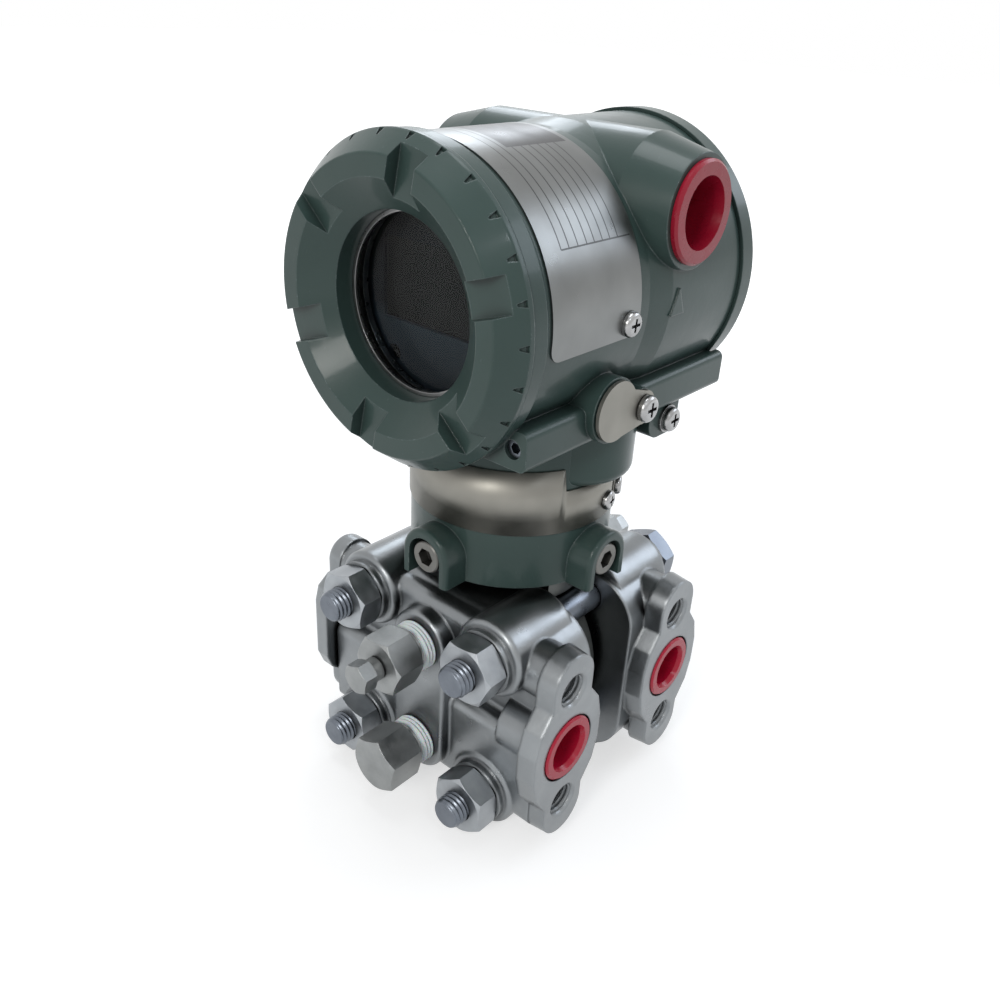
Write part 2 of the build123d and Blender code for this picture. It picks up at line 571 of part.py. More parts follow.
def glass_ring():
    ring = cyl_y(GLASS_R, -GLASS_BACK_Y, -GLASS_RING_END_Y, 0, HEAD_Z)
    return ring - cyl_y(GLASS_RING_BORE_R, -60, 0, 0, HEAD_Z)


def glass_seal():
    ring = cyl_y(WINDOW_R - 0.05, -GLASS_FRONT_Y - 0.9, -GLASS_FRONT_Y, 0, HEAD_Z)
    return ring - cyl_y(WINDOW_R - 1.1, -60, 0, 0, HEAD_Z)


def indicator_module():
    body = cyl_y(INDICATOR_R, -INDICATOR_FRONT_Y, -INDICATOR_BACK_Y, 0, HEAD_Z)
    body = fillet(body.edges().group_by(Axis.Y)[0], 1.2)
    z = HEAD_Z + 2.0
    recess = block(-DISPLAY_WIDE / 2, DISPLAY_WIDE / 2, -60, -INDICATOR_FRONT_Y + 2.0,
                   z - DISPLAY_HIGH / 2, z + DISPLAY_HIGH / 2)
    wells = [cyl_y(2.4, -60, -INDICATOR_FRONT_Y + 2.4, s * INDICATOR_SCREW_X, INDICATOR_SCREW_Z)
             for s in (1, -1)]
    holes = [cyl_y(1.25, -60, -INDICATOR_FRONT_Y + 4, s * INDICATOR_SCREW_X, INDICATOR_SCREW_Z)
             for s in (1, -1)]
    return body - recess - wells - holes


def display_panel():
    z = HEAD_Z + 2.0
    gap = 0.1
    return block(-DISPLAY_WIDE / 2 + gap, DISPLAY_WIDE / 2 - gap, -INDICATOR_FRONT_Y + 1.0,
                 -INDICATOR_FRONT_Y + 2.0, z - DISPLAY_HIGH / 2 + gap, z + DISPLAY_HIGH / 2 - gap)


def indicator_screws():
    screw = pan_screw(2.2, 1.2, 0.5)
    return [Pos(s * INDICATOR_SCREW_X, -INDICATOR_FRONT_Y + 2.4, INDICATOR_SCREW_Z) * Rot(90, 0, 0) * screw
            for s in (1, -1)]


def electronics_module():
    body = cyl_y(MODULE_R, -INDICATOR_BACK_Y, WALL_FRONT_Y, 0, HEAD_Z)
    body -= block(MODULE_FLAT_X, 2 * MODULE_R, -60, 60, 0, 2 * HEAD_Z)
    return body - block(-2 * MODULE_R, -MODULE_FLAT_X, -60, 60, 0, 2 * HEAD_Z)


def terminal_block():
    body = cyl_y(TERMINAL_R, WALL_REAR_Y, TERMINAL_END_Y, 0, HEAD_Z - 4)
    cuts = [block(x - 4.2, x + 4.2, TERMINAL_END_Y - 5.0, 60, HEAD_Z - 13, HEAD_Z + 5) for x in TERMINALS]
    cuts += [cyl_y(1.65, TERMINAL_END_Y - 11, 60, x, HEAD_Z - 4) for x in TERMINALS]
    return body - cuts


TERMINALS = (-15.0, -5.0, 5.0, 15.0)


def terminal_screws():
    screw = pan_screw(3.4, 1.6, 5.5)
    return [Pos(x, TERMINAL_END_Y - 5.0, HEAD_Z - 4) * Rot(-90, 0, 0) * screw for x in TERMINALS]


def name_plate():
    shell = cyl_y(BARREL_R + 0.02 + PLATE_THICK, PLATE_Y0, PLATE_Y1, 0, HEAD_Z)
    shell -= cyl_y(BARREL_R + 0.02, PLATE_Y0 - 1, PLATE_Y1 + 1, 0, HEAD_Z)
    reach = 80.0
    first, last = math.radians(PLATE_FIRST_DEG), math.radians(PLATE_LAST_DEG)
    middle = (first + last) / 2
    corners = [(0, 0), (reach * math.cos(first), reach * math.sin(first)),
               (2 * reach * math.cos(middle), 2 * reach * math.sin(middle)),
               (reach * math.cos(last), reach * math.sin(last))]
    sector = extrude(Plane((0, 60, HEAD_Z), x_dir=(1, 0, 0), z_dir=(0, -1, 0))
                     * make_face(Polyline(*corners, close=True)), 120)
    plate = shell & sector
    ends = plate.edges().filter_by(GeomType.LINE).filter_by(lambda e: e.length < 1.0)
    plate = fillet(ends, 4.0)
    for degrees in PLATE_SCREW_DEG:
        plate -= around_head(cyl_x(1.7, BARREL_R - 2, BARREL_R + 3, PLATE_SCREW_Y, HEAD_Z), degrees)
    return plate


def plate_screws():
    screw = Pos(BARREL_R + 0.02 + PLATE_THICK, PLATE_SCREW_Y, HEAD_Z) * Rot(0, 90, 0) * pan_screw(3.4, 1.5, 2.6)
    return [around_head(screw, degrees) for degrees in PLATE_SCREW_DEG]


def tag_band(first, last, screws):
    shell = cyl_z(NECK_R + 0.03 + BAND_THICK, BAND_LOW, BAND_HIGH)
    shell -= cyl_z(NECK_R + 0.03, BAND_LOW - 1, BAND_HIGH + 1)
    reach = 90.0
    steps = [first + (last - first) * k / 4 for k in range(5)]
    corners = [(0, 0)] + [(reach * math.cos(math.radians(a)), reach * math.sin(math.radians(a))) for a in steps]
    sector = extrude(Plane.XY * make_face(Polyline(*corners, close=True)), 2 * HEAD_Z)
    band = shell & sector
    for degrees in screws:
        band -= Rot(0, 0, degrees) * cyl_x(1.4, NECK_R - 2, NECK_R + 3, 0, BAND_SCREW_Z)
    return band


def band_screws():
    screw = Pos(NECK_R + 0.03 + BAND_THICK, 0, BAND_SCREW_Z) * Rot(0, 90, 0) * pan_screw(3.0, 1.25, 5.5)
    return [Rot(0, 0, degrees) * screw for degrees, z in BAND_SCREWS]


def neck_screws():
    head = cyl_x(CAP_HEAD_R, SCREW_SEAT, SCREW_SEAT + CAP_HEAD_LENGTH, 0, HOOD_Z)
    head = chamfer(head.edges().group_by(Axis.X)[-1], 0.4)
    key = extrude(Plane((SCREW_SEAT + CAP_HEAD_LENGTH - 3.2, 0, HOOD_Z), x_dir=(0, 1, 0), z_dir=(1, 0, 0))
                  * RegularPolygon(HEX_KEY_FLATS / math.sqrt(3), 6), 5)
    shank = cyl_x(CAP_SHANK_R, SCREW_SEAT - CAP_SHANK_LENGTH, SCREW_SEAT, 0, HOOD_Z)
    return [Rot(0, 0, turn) * (head - key + shank) for turn in (-90, 0)]


def zero_cover_plate():
    x0 = ZERO_BOSS_X + ZERO_PLATE_GAP
    disc = cyl_x(ZERO_PLATE_R, x0, x0 + ZERO_PLATE_THICK, ZERO_Y, ZERO_Z)
    ear = cyl_x(EAR_R - 0.4, x0, x0 + ZERO_PLATE_THICK, EAR_Y, EAR_Z)
    bridge = extrude(Plane((x0, 0, 0), x_dir=(0, 1, 0), z_dir=(1, 0, 0)) * make_face(Polyline(
        (ZERO_Y, ZERO_Z + 6.6), (EAR_Y + 0.6, EAR_Z + EAR_R - 0.5), (EAR_Y - 0.8, EAR_Z - EAR_R + 0.5),
        (ZERO_Y, ZERO_Z - ZERO_PLATE_R + 0.2), close=True)), ZERO_PLATE_THICK)
    plate = disc + ear + bridge
    return plate - cyl_x(2.05, x0 - 1, x0 + 3, EAR_Y, EAR_Z)


def zero_plate_screw():
    x = ZERO_BOSS_X + 2 * ZERO_PLATE_GAP + ZERO_PLATE_THICK
    screw = Pos(x, EAR_Y, EAR_Z) * Rot(0, 90, 0) * pan_screw(EAR_SCREW_R, 1.98, 9.0)
    return screw


def zero_adjust_screw():
    floor = ZERO_BOSS_X - ZERO_WELL_DEPTH
    head = cyl_x(ZERO_WELL_R - 0.1, floor + 0.3, floor + 5.0, ZERO_Y, ZERO_Z)
    slot = block(floor + 3.2, floor + 6, ZERO_Y - 6, ZERO_Y + 6, ZERO_Z - 0.7, ZERO_Z + 0.7)
    return head - slot


def ground_screw():
    washer_x = GROUND_FACE_X + 0.8
    return Pos(washer_x, GROUND_Y, GROUND_Z) * Rot(0, 90, 0) * pan_screw(GROUND_SCREW_R, 2.0, 7.0)


def ground_washer():
    ring = cyl_x(GROUND_WASHER_R, GROUND_FACE_X, GROUND_FACE_X + 0.8, GROUND_Y, GROUND_Z)
    return ring - cyl_x(2.05, GROUND_FACE_X - 1, GROUND_FACE_X + 2, GROUND_Y, GROUND_Z)


def lock_screw():
    body = cyl_y(LOCK_R, RAIL_Y0 + LOCK_SUNK, RAIL_Y0 + LOCK_SUNK + 8, LOCK_X, LOCK_Z)
    key = extrude(Plane((LOCK_X, RAIL_Y0 + LOCK_SUNK + 2.5, LOCK_Z), x_dir=(1, 0, 0), z_dir=(0, -1, 0))
                  * RegularPolygon(1.5, 6), 3)
    return body - key


def conduit_plug():
    """Plastic plug of the right conduit entry; the left one is its mirror image."""
    outer = CONDUIT_R - PLASTIC_CLEAR
    face = BOSS_X + 0.1
    cup = [(face - CONDUIT_PLUG_LENGTH, 0), (face - CONDUIT_PLUG_LENGTH, outer - 0.5),
           (face - CONDUIT_PLUG_LENGTH + 1, outer), (face, outer), (face, CONDUIT_RING_R),
           (face + CONDUIT_RING_THICK - 0.6, CONDUIT_RING_R), (face + CONDUIT_RING_THICK, CONDUIT_RING_R - 0.7),
           (face + CONDUIT_RING_THICK, outer - PLUG_WALL + 0.3), (face - 1.0, outer - PLUG_WALL - 0.2),
           (face - CONDUIT_PLUG_LENGTH + PLUG_WALL, outer - PLUG_WALL - 0.8),
           (face - CONDUIT_PLUG_LENGTH + PLUG_WALL, 0)]
    return turned_x(cup, BOSS_Y, BOSS_Z)


def port_plug():
    """Plastic plug of the front process port; the rear one is its mirror image."""
    outer = PORT_BORE_R - PLASTIC_CLEAR
    floor = PORT_FACE_X - PORT_RECESS_DEPTH + 0.1
    face = PORT_FACE_X + PORT_PLUG_PROUD
    rim = PORT_RECESS_R - 0.6
    cup = [(floor - PORT_PLUG_LENGTH, 0), (floor - PORT_PLUG_LENGTH, outer - 0.5),
           (floor - PORT_PLUG_LENGTH + 1, outer), (floor, outer), (floor, rim), (face - 0.6, rim),
           (face, rim - 0.6), (face, outer - PLUG_WALL + 0.7), (face - 1.4, outer - PLUG_WALL),
           (floor - PORT_PLUG_LENGTH + PLUG_WALL, outer - PLUG_WALL - 0.5),
           (floor - PORT_PLUG_LENGTH + PLUG_WALL, 0)]
    return turned_x(cup, -PORT_SPACING / 2, PORT_Z)


def build_nodes():
    vent_z = PORT_Z + PLUG_Z
    drain_z = PORT_Z - PLUG_Z
    flange = cover_flange()
    vent = web_plug(vent_z, VENT_HEX_END, 8, True)
    bleed = bleed_screw()
    drain = web_plug(drain_z, DRAIN_HEX_END, 22, False)
    tape = thread_tape()
    gasket = flange_gasket()
    right_plug = conduit_plug()
    near_plug = port_plug()
    ring = cover_ring()
    return {
        "amplifier_housing": amplifier_housing(),
        "front_cover": front_cover(),
        "front_cover_ring": ring,
        "window_glass": window_glass(),
        "glass_ring": glass_ring(),
        "glass_seal": glass_seal(),
        "indicator_module": indicator_module(),
        "indicator_screws": indicator_screws(),
        "display_panel": display_panel(),
        "electronics_module": electronics_module(),
        "rear_cover": rear_cover(),
        "rear_cover_ring": rear(ring),
        "terminal_block": terminal_block(),
        "terminal_screws": terminal_screws(),
        "name_plate": name_plate(),
        "plate_screws": plate_screws(),
        "front_tag_band": tag_band(FRONT_BAND[0], FRONT_BAND[1], FRONT_BAND_SCREWS),
        "rear_tag_band": tag_band(REAR_BAND[0], REAR_BAND[1], REAR_BAND_SCREWS),
        "band_screws": band_screws(),
        "neck_screws": neck_screws(),
        "zero_cover_plate": zero_cover_plate(),
        "zero_plate_screw": zero_plate_screw(),
        "zero_adjust_screw": zero_adjust_screw(),
        "ground_screw": ground_screw(),
        "ground_washer": ground_washer(),
        "lock_screw": lock_screw(),
        "right_conduit_plug": right_plug,
        "left_conduit_plug": mirror(right_plug, Plane.YZ),
        "sensor_capsule": capsule(),
        "front_gasket": gasket,
        "rear_gasket": rear(gasket),
        "front_flange": flange,
        "rear_flange": rear(flange),
        "flange_bolts": flange_bolts(),
        "flange_nuts": flange_nuts(),
        "front_port_plug": near_plug,
        "rear_port_plug": rear(near_plug),
        "front_vent_plug": vent,
        "front_vent_screw": bleed,
        "front_drain_plug": drain,
        "front_thread_tape": tape,
        "rear_vent_plug": rear(vent),
        "rear_vent_screw": rear(bleed),
        "rear_drain_plug": rear(drain),
        "rear_thread_tape": [rear(t) for t in tape],
    }


os.makedirs("parts", exist_ok=True)
for name, shape in build_nodes().items():
    if isinstance(shape, list):
        shape = Compound(children=shape)
    export_step(shape, "parts/" + name + ".step")
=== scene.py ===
import bmesh
import bpy
import json
import math
import random
from mathutils import Matrix, Vector, noise


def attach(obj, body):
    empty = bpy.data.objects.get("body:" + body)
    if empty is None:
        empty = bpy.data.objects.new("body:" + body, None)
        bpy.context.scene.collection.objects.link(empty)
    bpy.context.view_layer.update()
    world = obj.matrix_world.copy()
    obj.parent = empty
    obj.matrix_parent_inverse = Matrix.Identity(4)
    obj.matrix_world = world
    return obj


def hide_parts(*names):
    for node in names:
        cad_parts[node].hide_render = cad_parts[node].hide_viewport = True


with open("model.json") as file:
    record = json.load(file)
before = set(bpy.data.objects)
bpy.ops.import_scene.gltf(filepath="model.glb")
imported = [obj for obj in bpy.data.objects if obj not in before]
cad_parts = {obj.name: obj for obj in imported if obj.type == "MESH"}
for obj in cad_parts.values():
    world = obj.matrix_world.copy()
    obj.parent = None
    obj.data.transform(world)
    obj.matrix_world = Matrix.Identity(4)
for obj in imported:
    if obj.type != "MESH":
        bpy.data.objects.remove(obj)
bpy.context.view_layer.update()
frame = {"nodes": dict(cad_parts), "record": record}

MM = 0.001
PORT_Z = 37.0
HEAD_Z = PORT_Z + 123.6
NODES = frame["nodes"]


def metres(*values):
    return tuple(v * MM for v in values)


def add_object(name, data):
    obj = bpy.data.objects.new(name, data)
    bpy.context.scene.collection.objects.link(obj)
    return obj


# Camera, solved from the photograph: place, aim and roll, and its lens in pixels of a square picture
CAMERA_AT = (168.38, -206.948, PORT_Z + 194.314)
CAMERA_TO = (6.717, -12.32, PORT_Z + 61.064)
CAMERA_ROLL = 0.059
FOCAL_PIXELS = 961.987
PHOTO_PIXELS = 1000.0
CENTRE_X = 502.562
CENTRE_Y = 496.426
SENSOR_WIDTH = 36.0
CLIP_START = 0.01


def make_camera():
    data = bpy.data.cameras.new("camera")
    camera = add_object("camera", data)
    place = Vector(metres(*CAMERA_AT))
    forward = (Vector(metres(*CAMERA_TO)) - place).normalized()
    right = forward.cross(Vector((0, 0, 1))).normalized()
    up = right.cross(forward)
    c, s = math.cos(CAMERA_ROLL), math.sin(CAMERA_ROLL)
    right, up = right * c + up * s, up * c - right * s
    turn = Matrix((right, up, -forward)).transposed().to_4x4()
    camera.matrix_world = Matrix.Translation(place) @ turn
    data.sensor_width = SENSOR_WIDTH
    data.lens = FOCAL_PIXELS / PHOTO_PIXELS * SENSOR_WIDTH
    data.shift_x = (PHOTO_PIXELS / 2 - CENTRE_X) / PHOTO_PIXELS
    data.shift_y = (CENTRE_Y - PHOTO_PIXELS / 2) / PHOTO_PIXELS
    data.clip_start = CLIP_START
    bpy.context.scene.camera = camera


def math_node(tree, operation, a, b=None):
    """Math node on one or two values, each a socket or a number."""
    node = tree.nodes.new("ShaderNodeMath")
    node.operation = operation
    for socket, value in zip(node.inputs, (a, b)):
        if isinstance(value, (int, float)):
            socket.default_value = value
        elif value is not None:
            tree.links.new(value, socket)
    return node.outputs[0]


class Shader:
    """Small helper that builds one node material around a Principled shader."""

    def __init__(self, name):
        self.material = bpy.data.materials.new(name)
        self.material.use_nodes = True
        self.tree = self.material.node_tree
        self.tree.nodes.clear()
        self.out = self.add("ShaderNodeOutputMaterial")
        self.main = self.add("ShaderNodeBsdfPrincipled")
        self.link(self.main.outputs["BSDF"], self.out.inputs["Surface"])
        self.place = self.add("ShaderNodeTexCoord").outputs["Object"]

    def add(self, kind, **settings):
        node = self.tree.nodes.new(kind)
        for key, value in settings.items():
            setattr(node, key, value)
        return node

    def link(self, a, b):
        self.tree.links.new(a, b)

    def set(self, **values):
        for key, value in values.items():
            self.main.inputs[key.replace("_", " ")].default_value = value

    def noise(self, scale, detail=3.0, rough=0.5, place=None):
        node = self.add("ShaderNodeTexNoise")
        self.link(place or self.place, node.inputs["Vector"])
        node.inputs["Scale"].default_value = scale
        node.inputs["Detail"].default_value = detail
        node.inputs["Roughness"].default_value = rough
        return node.outputs["Fac"]

    def stretched(self, x, y, z):
        node = self.add("ShaderNodeMapping")
        self.link(self.place, node.inputs["Vector"])
        node.inputs["Scale"].default_value = (x, y, z)
        return node.outputs["Vector"]

    def ramp(self, value, *stops):
        node = self.add("ShaderNodeValToRGB")
        self.link(value, node.inputs["Fac"])
        marks = node.color_ramp.elements
        while len(marks) < len(stops):
            marks.new(0.5)
        for mark, (at, colour) in zip(marks, stops):
            mark.position = at
            mark.color = colour if isinstance(colour, tuple) else (colour, colour, colour, 1)
        return node.outputs["Color"]

    def math(self, operation, a, b=None):
        return math_node(self.tree, operation, a, b)

    def mix(self, amount, a, b, blend="MIX"):
        node = self.add("ShaderNodeMix", data_type="RGBA", blend_type=blend)
        for socket, value in ((node.inputs["Factor"], amount), (node.inputs[6], a), (node.inputs[7], b)):
            if isinstance(value, (int, float, tuple)):
                socket.default_value = value
            else:
                self.link(value, socket)
        return node.outputs[2]

    def bump(self, *layers, normal=None):
        """Each layer is (height, distance in metres, strength)."""
        last = normal
        for height, distance, strength in layers:
            node = self.add("ShaderNodeBump")
            self.link(height, node.inputs["Height"])
            node.inputs["Distance"].default_value = distance
            node.inputs["Strength"].default_value = strength
            if last:
                self.link(last, node.inputs["Normal"])
            last = node.outputs["Normal"]
        self.link(last, self.main.inputs["Normal"])
        if normal:
            self.link(normal, self.main.inputs["Coat Normal"])

    def soft_normal(self, radius):
        """Normals rounded over edges and inner corners, as a casting has them."""
        node = self.add("ShaderNodeBevel", samples=6)
        node.inputs["Radius"].default_value = radius * MM
        return node.outputs["Normal"]

    def painted_corner_shade(self, distance, dark):
        """Grey value that falls in corners and gaps: painted shade."""
        node = self.add("ShaderNodeAmbientOcclusion", samples=8, only_local=False)
        node.inputs["Distance"].default_value = distance * MM
        return self.ramp(node.outputs["AO"], (0.25, dark), (0.85, 1.0))

    def edges(self, radius, low, high):
        """Grey value that rises to 1 on the edges of the shape."""
        flat = self.add("ShaderNodeNewGeometry")
        dot = self.add("ShaderNodeVectorMath", operation="DOT_PRODUCT")
        self.link(self.soft_normal(radius), dot.inputs[0])
        self.link(flat.outputs["Normal"], dot.inputs[1])
        return self.ramp(self.math("SUBTRACT", 1.0, dot.outputs["Value"]), (low, 0.0), (high, 1.0))

    def axes(self):
        """The place on the object as x, y and z, in metres."""
        node = self.add("ShaderNodeSeparateXYZ")
        self.link(self.place, node.inputs[0])
        return tuple(node.outputs)

    def between(self, value, low, high):
        """1 where the value lies between two limits, or else 0."""
        above = self.math("GREATER_THAN", value, low)
        return self.math("MULTIPLY", above, self.math("LESS_THAN", value, high))

    def near(self, value, centre, half):
        """1 where the value lies within half a width of the centre, or else 0."""
        return self.math("LESS_THAN", self.math("ABSOLUTE", self.math("SUBTRACT", value, centre)), half)

    def colour(self, value):
        self.link(value, self.main.inputs["Base Color"])

    def rough(self, value):
        self.link(value, self.main.inputs["Roughness"])


def rgb(r, g, b):
    return (r, g, b, 1.0)


def paint(name, seed):
    """Green enamel: slow changes of tone, pale specks, worn edges lightened further by a painted highlight,
    and painted shade in the corners.
    """
    s = Shader(name)
    s.set(Metallic=0.0, Specular_IOR_Level=0.20, Coat_Weight=0.28, Coat_Roughness=0.10, Coat_IOR=1.35)
    wide = s.noise(22.0 + seed, 4.0, 0.6)
    tone = s.ramp(wide, (0.3, rgb(0.036, 0.062, 0.056)), (0.7, rgb(0.045, 0.076, 0.069)))
    specks = s.ramp(s.noise(520.0, 2.0, 0.7), (0.70, 0.0), (0.75, 1.0))
    tone = s.mix(s.math("MULTIPLY", specks, 0.18), tone, rgb(0.11, 0.15, 0.145))
    chips = s.ramp(s.noise(430.0 + seed, 3.0, 0.7), (0.56, 0.0), (0.64, 1.0))
    # Edges get a painted highlight everywhere, and are lighter still where noise marks worn chips.
    chips_and_highlight = s.math("ADD", s.math("MULTIPLY", chips, 0.5), 0.22)
    wear_and_edge_highlight = s.math("MULTIPLY", s.edges(0.45, 0.012, 0.06), chips_and_highlight)
    # Painted shade: the colour darkens in corners and gaps.
    corner_shade = s.painted_corner_shade(5.0, 0.4)
    tone = s.mix(s.math("MULTIPLY", wear_and_edge_highlight, corner_shade), tone, rgb(0.24, 0.30, 0.30))
    s.colour(s.mix(1.0, tone, corner_shade, "MULTIPLY"))
    s.rough(s.ramp(s.noise(60.0, 3.0), (0.3, 0.28), (0.7, 0.40)))
    s.bump((s.noise(260.0, 2.0), 0.0002, 0.18), (s.noise(900.0, 2.0), 0.00006, 0.2),
           normal=s.soft_normal(0.5))
    return s.material


def cast_steel():
    """Blasted stainless casting with soft edges, and painted shade darkening its corners."""
    s = Shader("blasted casting")
    s.set(Metallic=1.0)
    wide = s.noise(35.0, 4.0, 0.6)
    tone = s.ramp(wide, (0.25, rgb(0.205, 0.217, 0.225)), (0.55, rgb(0.252, 0.266, 0.276)),
                  (0.8, rgb(0.298, 0.312, 0.322)))
    spots = s.ramp(s.noise(420.0, 3.0, 0.65), (0.62, 0.0), (0.72, 1.0))
    tone = s.mix(s.math("MULTIPLY", spots, 0.2), tone, rgb(0.34, 0.35, 0.34))
    # Painted shade darkens the colour in corners.
    s.colour(s.mix(1.0, tone, s.painted_corner_shade(8.0, 0.2), "MULTIPLY"))
    s.rough(s.ramp(s.noise(90.0, 3.0), (0.3, 0.27), (0.7, 0.38)))
    s.bump((s.noise(1100.0, 3.0, 0.6), 0.0001, 0.25), (s.noise(150.0, 2.0), 0.0003, 0.25),
           normal=s.soft_normal(1.4))
    return s.material


def turned_steel(name, tone_low, tone_high, rough_low, rough_high, grain=0.3, corner_shade_tone=0.45):
    """Machined steel with fine lines across y, and painted shade darkening its gaps."""
    s = Shader(name)
    s.set(Metallic=1.0)
    tone = s.ramp(s.noise(150.0, 3.0, 0.6), (0.3, rgb(*tone_low)), (0.7, rgb(*tone_high)))
    # Painted shade darkens the colour in corners and gaps.
    s.colour(s.mix(1.0, tone, s.painted_corner_shade(4.0, corner_shade_tone), "MULTIPLY"))
    s.rough(s.ramp(s.noise(300.0, 3.0), (0.3, rough_low), (0.7, rough_high)))
    lines = s.noise(1.0, 3.0, 0.7, s.stretched(300.0, 5200.0, 300.0))
    s.bump((lines, 0.00005, grain), normal=s.soft_normal(0.25))
    return s.material


def plain_plastic(name, low, high, rough_low, rough_high, grain_scale=700.0, grain=0.2, level=0.5):
    s = Shader(name)
    s.set(Specular_IOR_Level=level)
    s.colour(s.ramp(s.noise(60.0, 3.0), (0.3, rgb(*low)), (0.7, rgb(*high))))
    s.rough(s.ramp(s.noise(200.0, 3.0), (0.3, rough_low), (0.7, rough_high)))
    s.bump((s.noise(grain_scale, 2.0), 0.0001, grain))
    return s.material


def window_glass():
    """Tinted glass; light goes straight through it, so that the inside isn't grainy."""
    s = Shader("window glass")
    s.set(Transmission_Weight=1.0, IOR=1.14, Base_Color=rgb(0.60, 0.63, 0.64))
    s.rough(s.ramp(s.noise(80.0, 3.0), (0.35, 0.0), (0.75, 0.001)))
    clear = s.add("ShaderNodeBsdfTransparent")
    clear.inputs["Color"].default_value = rgb(0.5, 0.52, 0.53)
    pick = s.add("ShaderNodeMixShader")
    rays = s.add("ShaderNodeLightPath")
    inside = s.math("GREATER_THAN", rays.outputs["Diffuse Depth"], 0.5)
    s.link(s.math("MAXIMUM", rays.outputs["Is Shadow Ray"], inside), pick.inputs[0])
    s.link(s.main.outputs["BSDF"], pick.inputs[1])
    s.link(clear.outputs["BSDF"], pick.inputs[2])
    s.link(pick.outputs["Shader"], s.out.inputs["Surface"])
    return s.material


# The indicator's change of tone is a painted reflection, lighter and bluer towards its foot.
INDICATOR_HALF = 30.0      # half the height over which the indicator's tone changes


def indicator_with_painted_reflection():
    """Dark plastic of the indicator, with a painted reflection that makes it bluer and lighter towards its
    foot.
    """
    s = Shader("indicator plastic with painted reflection")
    above = s.math("SUBTRACT", s.axes()[2], (HEAD_Z - INDICATOR_HALF) * MM)
    height = s.math("MULTIPLY", above, 1 / (2 * INDICATOR_HALF * MM))
    # Painted reflection: the foot is lighter and bluer, and the top is near black.
    s.colour(s.ramp(height, (0.10, rgb(0.045, 0.060, 0.078)), (0.34, rgb(0.075, 0.105, 0.135)),
                    (0.42, rgb(0.030, 0.036, 0.044)), (0.75, rgb(0.020, 0.020, 0.022))))
    s.set(Specular_IOR_Level=0.2)
    s.rough(s.ramp(s.noise(60.0, 2.0), (0.3, 0.38), (0.7, 0.46)))
    return s.material


# Printing on the name plate, with y in millimetres and angles about the barrel: a table whose lines run
# from its foot line upwards, and one dark field
TABLE_FOOT = math.radians(28.0)
TABLE_LINES_Y = (-31.6, -28.6, -25.2, -21.8, -18.8, -15.6, -12.6, -9.4)
FIELD_ANGLES = (math.radians(70.0), math.radians(101.0))
FIELD_FROM_Y = -27.0
PRINT_TO_Y = -4.4
PRINT_HALF = 0.2           # half the width of a printed line
PLATE_R = 40.6


def plate_ink(s):
    """1 on the printing of the name plate, 0 on bare metal."""
    x, y, z = s.axes()
    angle = s.math("ARCTAN2", s.math("SUBTRACT", z, HEAD_Z * MM), x)
    table_side = s.math("GREATER_THAN", angle, TABLE_FOOT)
    foot = s.math("MULTIPLY", s.near(angle, TABLE_FOOT, PRINT_HALF / PLATE_R),
                  s.between(y, TABLE_LINES_Y[0] * MM, PRINT_TO_Y * MM))
    field = s.math("MULTIPLY", s.between(angle, *FIELD_ANGLES),
                   s.between(y, FIELD_FROM_Y * MM, PRINT_TO_Y * MM))
    ink = s.math("MAXIMUM", foot, field)
    for line in TABLE_LINES_Y:
        mark = s.math("MULTIPLY", s.near(y, line * MM, PRINT_HALF * MM), table_side)
        ink = s.math("MAXIMUM", ink, mark)
    return ink


def brushed_plate(name, low, high, rough_low, rough_high, grain, depth, printed=False):
    """Brushed sheet; the grain is the scale of its lines along x, y and z."""
    s = Shader(name)
    s.set(Metallic=1.0)
    base = s.ramp(s.noise(40.0, 3.0, 0.6), (0.3, rgb(*low)), (0.7, rgb(*high)))
    if printed:
        ink = plate_ink(s)
        s.colour(s.mix(ink, base, rgb(0.012, 0.012, 0.012)))
        s.link(s.math("SUBTRACT", 1.0, ink), s.main.inputs["Metallic"])
    else:
        s.colour(base)
    s.rough(s.ramp(s.noise(120.0, 3.0), (0.3, rough_low), (0.7, rough_high)))
    s.bump((s.noise(1.0, 3.0, 0.7, s.stretched(*grain)), 0.00003, depth))
    return s.material


def display_material():
    s = Shader("display panel")
    s.set(Specular_IOR_Level=0.12)
    s.colour(s.ramp(s.noise(50.0, 2.0), (0.3, rgb(0.030, 0.029, 0.027)), (0.7, rgb(0.040, 0.038, 0.035))))
    s.rough(s.ramp(s.noise(60.0, 2.0), (0.3, 0.30), (0.7, 0.36)))
    return s.material


def tape_material():
    s = Shader("sealing tape")
    s.set(Subsurface_Weight=0.3, Subsurface_Scale=0.002)
    s.colour(s.ramp(s.noise(500.0, 3.0), (0.3, rgb(0.88, 0.90, 0.91)), (0.7, rgb(0.95, 0.96, 0.96))))
    s.rough(s.ramp(s.noise(400.0, 3.0), (0.3, 0.45), (0.7, 0.65)))
    s.bump((s.noise(1.0, 3.0, 0.6, s.stretched(500.0, 2600.0, 500.0)), 0.0001, 0.5))
    return s.material


